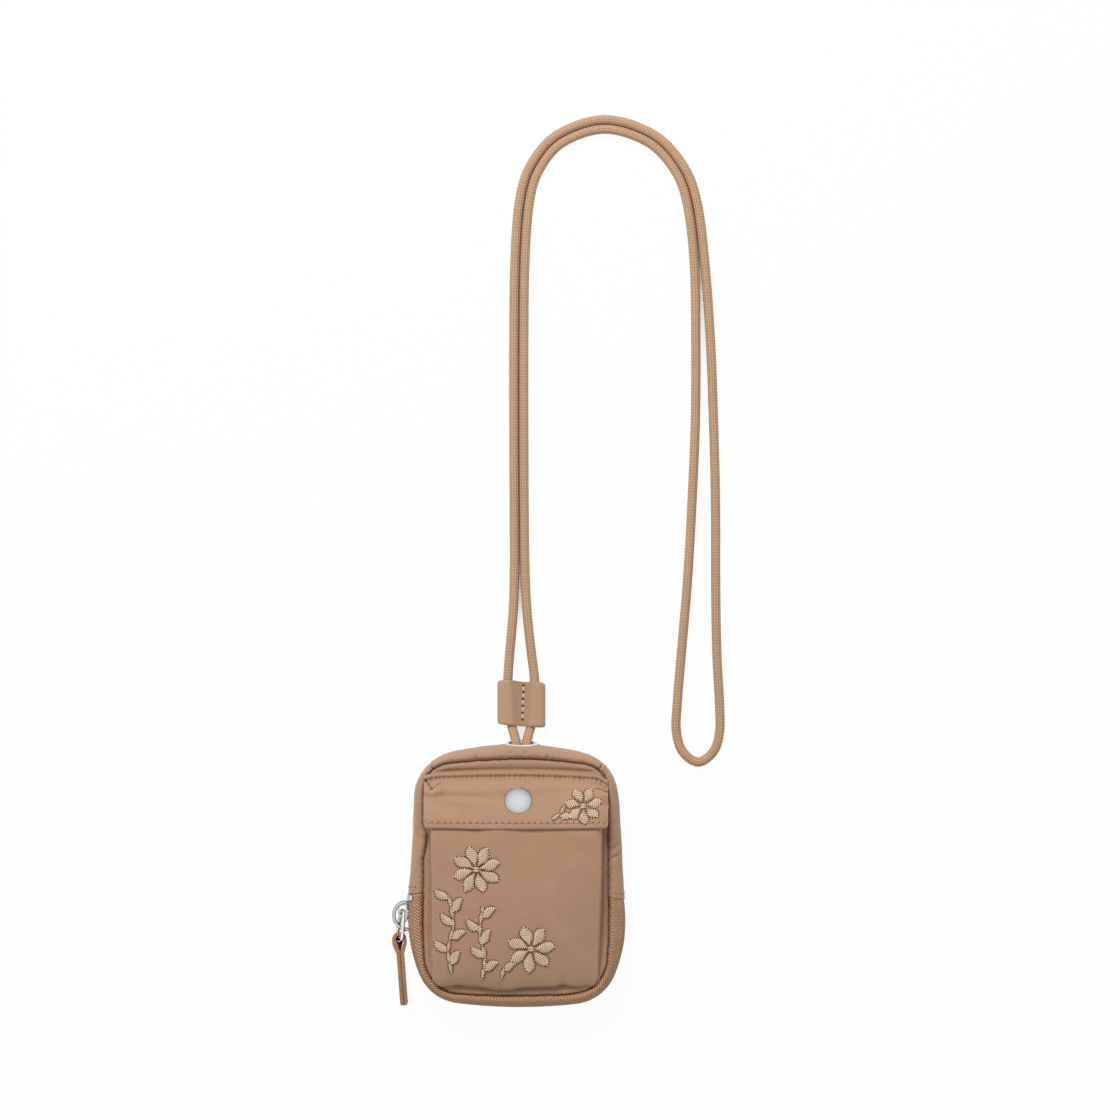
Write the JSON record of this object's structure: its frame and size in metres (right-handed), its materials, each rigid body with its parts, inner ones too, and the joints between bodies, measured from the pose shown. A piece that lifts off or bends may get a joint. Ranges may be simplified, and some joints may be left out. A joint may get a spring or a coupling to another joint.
{
  "type": "neck pouch wallet",
  "caption": "Small soft zipped pouch with a bellows front pocket under a snap flap, hung on a long round neck cord with a sliding leather keeper.",
  "frame": {"origin": "middle of the back panel's outer face, which the pouch lies on", "axes": "+Z out of the front panel, +Y up the pouch towards the eyelet, +X to the right seen from the front"},
  "size_m": [0.1535, 0.411, 0.0321],
  "materials": {
    "nylon": "matte woven nylon",
    "lining": "plain lining",
    "zip_tape": "herringbone tape",
    "zip_chain": "nylon coil",
    "leather": "smooth, fine grain",
    "braid": "round braid",
    "steel": "satin nickel"
  },
  "bodies": {
    "pouch": {"back_panel": "nylon", "back_lining": "lining", "back_seam_binding": "lining", "front_panel": "nylon", "front_lining": "lining", "front_seam_binding": "lining", "upper_gusset": "nylon", "zip_tape_front": "zip_tape", "zip_tape_back": "zip_tape", "zip_coil_front": "zip_chain", "zip_coil_back": "zip_chain", "zip_top_stop_front": "steel", "zip_top_stop_back": "steel", "zip_bottom_stop": "steel", "pocket_panel": "nylon", "pocket_bellows": "nylon", "snap_stud": "steel", "snap_post": "steel", "eyelet": "steel", "eyelet_washer": "steel", "cord": "braid", "cord_knot": "braid"},
    "flap": {"flap_outer": "nylon", "flap_facing": "lining", "snap_cap": "steel", "snap_socket": "steel"},
    "slider": {"slider_body": "steel"},
    "ring": {"slider_ring": "steel"},
    "pull": {"pull_tab": "leather"},
    "keeper": {"cord_keeper": "leather"}
  },
  "joints": [
    {"name": "flap_fold", "type": "hinge", "parent": "pouch", "child": "flap", "pos_m": [0, 0.046, 0.01895], "axis": [-1, 0, 0], "range_deg": [0, 110]},
    {"name": "zip_run", "type": "hinge", "parent": "pouch", "child": "slider", "pos_m": [0.0198, -0.0192, 0.0092], "axis": [0, 0, 1], "range_deg": [0, 20], "deforming": ["zip_coil_front", "zip_coil_back"]},
    {"name": "ring_swing", "type": "hinge", "parent": "slider", "child": "ring", "pos_m": [-0.05235, -0.01643, 0.0092], "axis": [0, 0, -1], "range_deg": [0, 120]},
    {"name": "pull_swing", "type": "hinge", "parent": "ring", "child": "pull", "pos_m": [-0.05383, -0.02985, 0.0092], "axis": [0, 0, -1], "range_deg": [0, 90]},
    {"name": "keeper_slide", "type": "slide", "parent": "pouch", "child": "keeper", "axis": [0, 1, 0], "range_m": [0, 0.022]}
  ]
}
